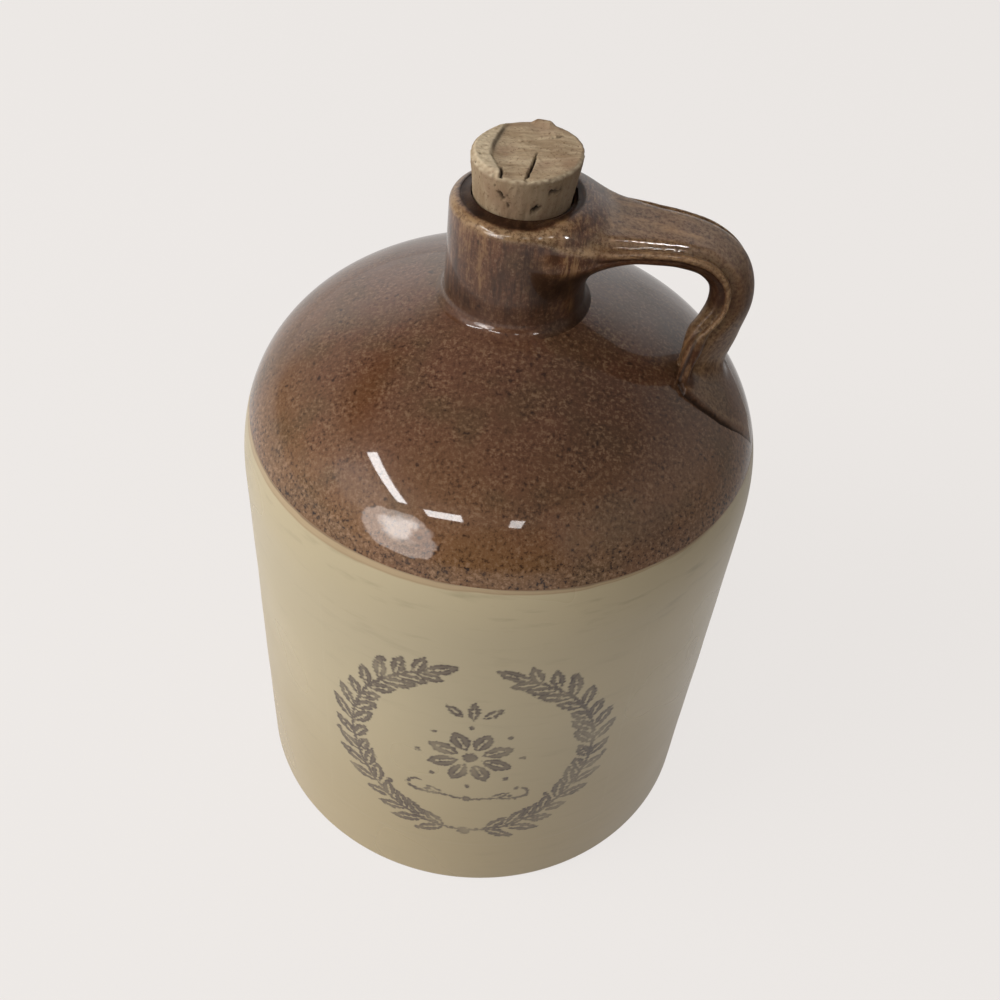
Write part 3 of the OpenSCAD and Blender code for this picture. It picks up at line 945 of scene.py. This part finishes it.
# x, y and z are views of the spots, so what is marked last follows the finished shape
spots = corners_of(cork)
x, y, z = spots.T
radius = np.hypot(x, y)
lid = ease(z, cork_top - 0.5, cork_top - 0.02) * ease(radius, 10.3, 9.6)
wall = 1 - ease(z, cork_top - 0.2, cork_top)
dark = np.zeros(len(spots))
sink = np.zeros(len(spots))
for start, end, thick_a, thick_b, depth in cork_marks:
    gap, share = near_line(x, y, z, start, end)
    thick = thick_a + (thick_b - thick_a) * share
    thick = thick * (1 + 0.3 * waves(x, y, z, 1.1, 5))
    hole_and_shadow = 1 - ease(gap, thick * 0.55, thick * 1.5)
    dark = np.maximum(dark, hole_and_shadow)
    sink = np.maximum(sink, hole_and_shadow * depth)
cut_x = np.interp(y, *crescent_edge.T)
crescent = ease(x - cut_x, 0.28, -0.28) * lid
slope = 0.128 * waves(x, y, z, 9.0, 7) * lid
fibres = waves(x * 0.35, y, z, 0.9, 11)
rise = lid * (0.5 * crescent + slope + 0.025 * fibres + 0.02 * waves(x, y, z, 0.8, 13))
flake_gap = off_span(x, y, (1.6, 9.7), (3.4, 9.3))
rise += 0.75 * ease(flake_gap, 1.7, 0.2) * ease(z, cork_top - 1.4, cork_top - 0.3)
near_rim = ease(z, cork_top - 0.9, cork_top - 0.1) * ease(radius, 9.2, 10.1)
chip = ease(waves(x, y, 0 * z, 2.2, 19), 0.9, 1.9) * near_rim * ease(y, 2, -2)
rub = wall * (0.03 * waves(x, y, z * 0.2, 1.4, 23) + 0.015 * waves(x, y, z, 0.9, 29))
inward = -(sink * wall + 0.35 * chip) + rub * ease(z, 158.0, 161.0)
# The top is cut askew, highest at the back on the right, and the cork is slimmest at the mouth
askew = (0.6 + 0.062 * x + 0.035 * y) * ease(z, cork_clear_h, cork_top)
inward -= 0.025 * radius * ease(z, 167, 162.5) * ease(z, 156, 160)
spots[:, 0] += x / np.maximum(radius, 0.1) * inward + 0.035 * np.maximum(z - cork_clear_h, 0)
spots[:, 1] += y / np.maximum(radius, 0.1) * inward
spots[:, 2] += rise - sink * (1 - wall) - 0.45 * chip + askew
cork.data.vertices.foreach_set("co", (spots / 1000).ravel())
# A painted shadow along the low side of the crescent's cut, marked with the holes
cut_shadow = bell(x - cut_x, 0.35, 0.4) * lid * ease(y, -2.0, 1.0) * ease(y, 8.5, 6.5)
mark(cork, "hole_and_shadow", np.maximum(dark, 0.6 * cut_shadow))
torn = 0.75 * near_rim * ease(y, 2, -3) * ease(radius, 9.7, 10.1)
fresh = np.maximum(0.85 * crescent, np.maximum(chip, torn))
mark(cork, "fresh", fresh * (0.75 + 0.25 * waves(x, y, z, 1.2, 31)))
mark(cork, "lid", lid)


def natural_cork():
    """Cork bark: growth bands up the side and layers across the top, with darker patches and
    crumbs, painted shade on the right of its side, pale where freshly torn, near black in its
    holes, and a painted shadow beside the crescent's cut."""
    material = bpy.data.materials.new("natural_cork")
    material.use_nodes = True
    tree = material.node_tree
    where = add(tree, "ShaderNodeTexCoord").outputs["Object"]
    lid_share = reading(tree, "lid")
    growth = noise(tree, where, 0.0022, 4, 0.6, stretch=(1, 1, 3))
    layers = noise(tree, where, 0.0016, 4, 0.6, stretch=(6, 1, 1))
    bands = between(tree, lid_share, growth, layers)
    crumbs = noise(tree, where, 0.0007, 3, 0.6)
    patches = noise(tree, where, 0.006, 3)
    banded = times(tree, ramp(tree, bands, 0.35, 0.65), ramp(tree, lid_share, 0, 1, 0.55, 1.0))
    colour = blend(tree, banded, tint(154, 131, 102), tint(190, 169, 139))
    # Painted shade: the cork's side is darker towards the right, away from the light
    rightness = add(tree, "ShaderNodeSeparateXYZ", None, {0: where}).outputs["X"]
    cork_right_shade = ramp(tree, rightness, -0.007, 0.008, 0.25, 0.75)
    cork_right_shade = times(tree, cork_right_shade, less(tree, 1.0, lid_share))
    colour = washed(
        tree, colour,
        (ramp(tree, patches, 0.45, 0.7, 0, 0.55), (140, 108, 84)),
        (ramp(tree, crumbs, 0.55, 0.7, 0, 0.75), (112, 84, 58)),
        (cork_right_shade, (92, 74, 54)),
        (times(tree, reading(tree, "fresh"), 0.7), (222, 205, 174)),
        (reading(tree, "hole_and_shadow"), (38, 26, 18)),
    )
    shader = tree.nodes["Principled BSDF"]
    tree.links.new(colour, shader.inputs["Base Color"])
    shader.inputs["Roughness"].default_value = 0.85
    facts = {"Distance": 0.00012, "Strength": 0.8, "Height": plus(tree, bands, crumbs)}
    bump = add(tree, "ShaderNodeBump", None, facts)
    tree.links.new(bump.outputs[0], shader.inputs["Normal"])
    return material


cork.data.materials.append(natural_cork())

# Printed wreath
# A plain leafy wreath round an eight-petalled flower, transferred on the front of the wall
# under the light glaze in one purple-brown ink that is denser along the edges of its shapes.
print_h = 56.0
print_half = 36, 39
wreath_half = 27.5, 31
across, up = np.meshgrid(line(-print_half[0], print_half[0], 281), line(-print_half[1], print_half[1], 301))


def leaf(x, y, angle, length, half):
    """A pointed leaf: its half width is a sine along its length, with a bare rib down its
    middle. Gives the distance outside its edge."""
    turn = np.radians(angle)
    run = (across - x) * np.cos(turn) + (up - y) * np.sin(turn)
    off = np.abs((up - y) * np.cos(turn) - (across - x) * np.sin(turn))
    share = np.clip(run / length, 0, 1)
    gap = np.maximum(off - half * np.sin(np.pi * share) ** 0.8, np.maximum(run - length, -run))
    rib = np.where((share > 0.12) & (share < 0.72), 0.24 - off, -9)
    return np.maximum(gap, rib)


def stroke(corners, half):
    """A line of one thickness through some points."""
    spans = zip(corners[:-1], corners[1:])
    return np.min([off_span(across, up, start, end) for start, end in spans], axis=0) - half


def disc(x, y, radius):
    """A round dot."""
    return np.hypot(across - x, up - y) - radius


def round_wreath(angle):
    """A place on the wreath's oval, and the way along it there in degrees."""
    wide, tall = wreath_half
    heading = np.degrees(np.arctan2(tall * np.cos(angle), -wide * np.sin(angle)))
    return wide * np.cos(angle), tall * np.sin(angle), heading


shapes = []
for side in (-1, 1):
    x, y, headings = round_wreath(np.radians(np.linspace(-98, 66, 40)))
    stem = np.stack([side * x, y], 1)
    shapes.append(stroke(stem, 0.42))
    last = headings[-1]
    shapes.append(leaf(*stem[-1], last if side > 0 else 180 - last, 8.5, 1.6))
    for n, angle in enumerate(np.linspace(-80, 62, 15)):
        x, y, heading = round_wreath(np.radians(angle))
        long = 7.4 + 1.2 * np.sin(1.7 * n)
        for lean in (-38, 36):
            way = heading + lean
            shapes.append(leaf(side * x, y, way if side > 0 else 180 - way, long, 1.55))
        if n % 3 == 1:
            out = 1.16 if n % 2 else 0.86
            shapes.append(disc(side * x * out, y * out, 0.75))
    curl = np.radians(np.linspace(200, 470, 24))
    loop = np.stack([side * (11.5 + 2.2 * np.cos(curl)), -14.5 + 2.2 * np.sin(curl)], 1)
    shapes.append(stroke(loop, 0.36))
    tendril = [(side * 1.5, -17.2), (side * 6, -16.4), (side * 10, -16.9), (side * 13, -16)]
    shapes.append(stroke(tendril, 0.36))
    shapes.append(leaf(side * 5.5, -16.4, 90 - side * 62, 4.6, 1.0))
    shapes.append(leaf(side * 2.0, 15.2, 90 - side * 48, 5.4, 1.15))
for n in range(8):
    a = np.radians(45 * n + 22.5)
    shapes.append(leaf(2.9 * np.cos(a), 2.9 * np.sin(a), 45 * n + 22.5, 7.2, 2.1))
    shapes.append(disc(11.6 * np.cos(a + np.radians(22.5)), 11.6 * np.sin(a + np.radians(22.5)), 0.62))
shapes += [disc(0, 0, 1.7), leaf(0, 14.2, 90, 6.6, 1.3), disc(0, -17.2, 1.0), disc(0, -31.6, 1.5)]
edge = np.min(shapes, axis=0)
ragged = 0.13 * waves(across, up, 0 * up, 1.3, 41) + 0.08 * waves(across, up, 0 * up, 0.6, 43)
inked = ease(edge + ragged, 0.22, -0.22) * (0.72 + 0.28 * bell(edge, 0, 0.4))
inked *= np.clip(0.95 + 0.13 * waves(across, up, 0 * up, 9.0, 47) + 0.0022 * up - 0.003 * across, 0, 1)
turn = across / (body_r * 1000) - np.pi / 2
height = (print_h + up) / 1000
outline_r = foot_r + (body_r - foot_r) * (height - foot_round) / (wall_h - foot_round)
rim = np.maximum(np.abs(across) / print_half[0], np.abs(up) / print_half[1])
x, y = outline_r * np.cos(turn), outline_r * np.sin(turn)
# The patch stands a little off the wall and sinks into it along its edges
proud = 0.00003 - 0.00005 * ease(rim, 0.965, 1.0)
outline_r = outline_r + hand(x, y, height) + proud
points = np.stack([outline_r * np.cos(turn), outline_r * np.sin(turn), height], -1).reshape(-1, 3)
grid = np.arange(across.size).reshape(across.shape)
faces = np.stack([grid[:-1, :-1], grid[:-1, 1:], grid[1:, 1:], grid[1:, :-1]], -1).reshape(-1, 4).tolist()
ring = np.concatenate([grid[0, :-1], grid[:-1, -1], grid[-1, :0:-1], grid[:0:-1, 0]])
behind = 0.0016
points = np.vstack([points, [0, behind - body_r, print_h / 1000]])
faces += [[len(points) - 1, b, a] for a, b in zip(ring, np.roll(ring, -1))]
wreath = put_mesh("printed_wreath", points, faces)
mark(wreath, "ink", np.append(inked.ravel(), 0))
printed, printed_skin, tree = glaze_material("printed_glaze", light_glaze_look, cream_ripple, 0.0)
shader = tree.nodes["Principled BSDF"]
share = times(tree, reading(tree, "ink"), 0.95)
under = blend(tree, share, printed_skin.outputs["Colour"], tint(60, 42, 42))
tree.links.new(under, shader.inputs["Base Color"])
wreath.data.materials.append(printed)

# Floor, surroundings and lamps
# A plain pale floor and a pale room, which the glaze mirrors as darker overhead, on the right
# and straight ahead of the jug. A soft panel on the left lights it and tubes make its glints.
def rightward(tree, bearing):
    """1 for a bearing on the right of the jug, fading to 0 towards the back and the front."""
    return times(tree, ramp(tree, bearing, 1.1, 0.75), ramp(tree, bearing, -1.2, -0.98))


floor_mesh = bpy.data.meshes.new("floor")
floor_mesh.from_pydata([(-6, -6, 0), (6, -6, 0), (6, 6, 0), (-6, 6, 0)], [], [(0, 1, 2, 3)])
floor = bpy.data.objects.new("floor", floor_mesh)
bpy.context.collection.objects.link(floor)
pale = bpy.data.materials.new("pale_floor")
pale.use_nodes = True
tree = pale.node_tree
tree.nodes.clear()
matt = add(tree, "ShaderNodeBsdfDiffuse", None, {"Color": tint(205, 201, 198)})
rays = add(tree, "ShaderNodeLightPath").outputs
mirrored = plus(tree, rays["Is Glossy Ray"], rays["Is Transmission Ray"])
where = add(tree, "ShaderNodeTexCoord").outputs["Object"]
far = add(tree, "ShaderNodeVectorMath", {"operation": "LENGTH"}, {0: where}).outputs["Value"]
spot = add(tree, "ShaderNodeSeparateXYZ", None, {0: where}).outputs
bearing = sums(tree, "ARCTAN2", spot["Y"], spot["X"])
# Painted shadow: as mirrored, the floor's glow is darker away from the jug, most of all on the right
floor_shadow_side = ramp(tree, rightward(tree, bearing), 0, 1, 0.72, 0.27, kind="LINEAR")
strength = between(tree, mirrored, 1.0, between(tree, ramp(tree, far, 0.08, 0.35), 0.85, floor_shadow_side))
glow = add(tree, "ShaderNodeEmission", None, {"Color": tint(245, 241, 238), "Strength": strength})
mirrored = times(tree, mirrored, 0.7)
shown = plus(tree, times(tree, rays["Is Camera Ray"], 0.85), mirrored, clamp=True)
mix = add(tree, "ShaderNodeMixShader", None, {0: shown, 1: matt.outputs[0], 2: glow.outputs[0]})
tree.links.new(mix.outputs[0], add(tree, "ShaderNodeOutputMaterial").inputs["Surface"])
floor_mesh.materials.append(pale)

world = bpy.data.worlds.new("room")
bpy.context.scene.world = world
world.use_nodes = True
tree = world.node_tree
tree.nodes.clear()
rays = add(tree, "ShaderNodeLightPath").outputs
where = add(tree, "ShaderNodeTexCoord").outputs["Generated"]
side = add(tree, "ShaderNodeSeparateXYZ", None, {0: where}).outputs
bearing = sums(tree, "ARCTAN2", side["Y"], side["X"])
level = ramp(tree, side["Z"], -0.02, 0.35, 0.62, 0.95)
level = times(tree, level, ramp(tree, side["Z"], 0.5, 0.78, 1.0, 0.2))
right = rightward(tree, bearing)
front = times(tree, ramp(tree, bearing, -0.98, -1.2), ramp(tree, bearing, -2.4, -2.05))
raised = times(tree, ramp(tree, side["Z"], -0.02, 0.1, 0, 0.92), front)
dimmed = plus(tree, times(tree, right, 0.5), raised)
dimmed = times(tree, dimmed, ramp(tree, side["Z"], 0.78, 0.55))
seen = times(tree, level, less(tree, 1.0, dimmed))
# A curtained window in front on the left, as an uneven glow with a bright middle, then three
# stretches of wall beside it and behind, paler or, with a last value below 0, darker
uneven = noise(tree, where, 0.22, 3, 0.6)
uneven = times(tree, less(tree, uneven, 0.5), 0.06)
for aim, low, high, bright in (
    ((-0.590, -0.772, 0.233), 0.955, 0.963, 5.2),
    ((-0.584, -0.748, 0.300), 0.985, 1.003, 10.5),
    ((-0.794, -0.387, 0.469), 0.968, 0.985, 0.6),
    ((-0.852, 0.310, 0.423), 0.86, 0.95, -0.5),
    ((-0.310, 0.950, 0.150), 0.75, 1.0, 0.2),
):
    facts = {0: where, 1: Vector(aim).normalized()}
    facing = add(tree, "ShaderNodeVectorMath", {"operation": "DOT_PRODUCT"}, facts).outputs["Value"]
    facing = plus(tree, facing, uneven)
    seen = plus(tree, seen, ramp(tree, facing, low, high, 0, bright))
mirrored = plus(tree, rays["Is Glossy Ray"], rays["Is Transmission Ray"], clamp=True)
others = ramp(tree, side["X"], -1.0, 1.0, 0.45, 0.34, kind="LINEAR")
others = times(tree, others, less(tree, 1.0, times(tree, front, 0.6)))
strength = between(tree, rays["Is Camera Ray"], between(tree, mirrored, others, seen), 1.0)
sky = add(tree, "ShaderNodeBackground", None, {"Color": tint(235, 231, 228), "Strength": strength})
tree.links.new(sky.outputs[0], add(tree, "ShaderNodeOutputWorld").inputs["Surface"])

jug_top = Vector((0, 0, 0.125))


def lamp(name, place, size, power):
    """A soft rectangular lamp that faces the jug's shoulder."""
    data = bpy.data.lights.new(name, "AREA")
    data.shape = "RECTANGLE"
    data.size, data.size_y = size
    data.energy = power * size[0] * size[1]
    light = bpy.data.objects.new(name, data)
    light.location = place
    light.rotation_euler = (jug_top - Vector(place)).to_track_quat("-Z", "Y").to_euler()
    bpy.context.collection.objects.link(light)
    return light


def tube(name, place, size, power):
    """A ceiling lamp that faces straight down, with its sides along X and Y."""
    light = lamp(name, place, size, power)
    light.rotation_euler = (0, 0, 0)
    return light


key = lamp("left_panel", (-1.40, -0.40, 0.78), (1.2, 1.2), 11.0)
key.visible_glossy = False
tube("tube_left", (-1.17, -0.78, 1.33), (0.17, 0.95), 55.0)
tube("tube_front", (-0.61, -1.43, 1.33), (0.5, 0.22), 50.0)
tube("tube_short", (0.3, -1.44, 1.33), (0.16, 0.26), 32.0)

# A small lamp on an arm, narrowed to the strap's shoulder, for the line of light along it
arm_end = Vector((0.126, -0.134, 0.274))
narrow = lamp("strap_lamp", arm_end, (0.036, 0.02), 1.8)
narrow.rotation_euler = (Vector((0.025, -0.006, 0.160)) - arm_end).to_track_quat("-Z", "Y").to_euler()
narrow.data.spread = np.radians(16)
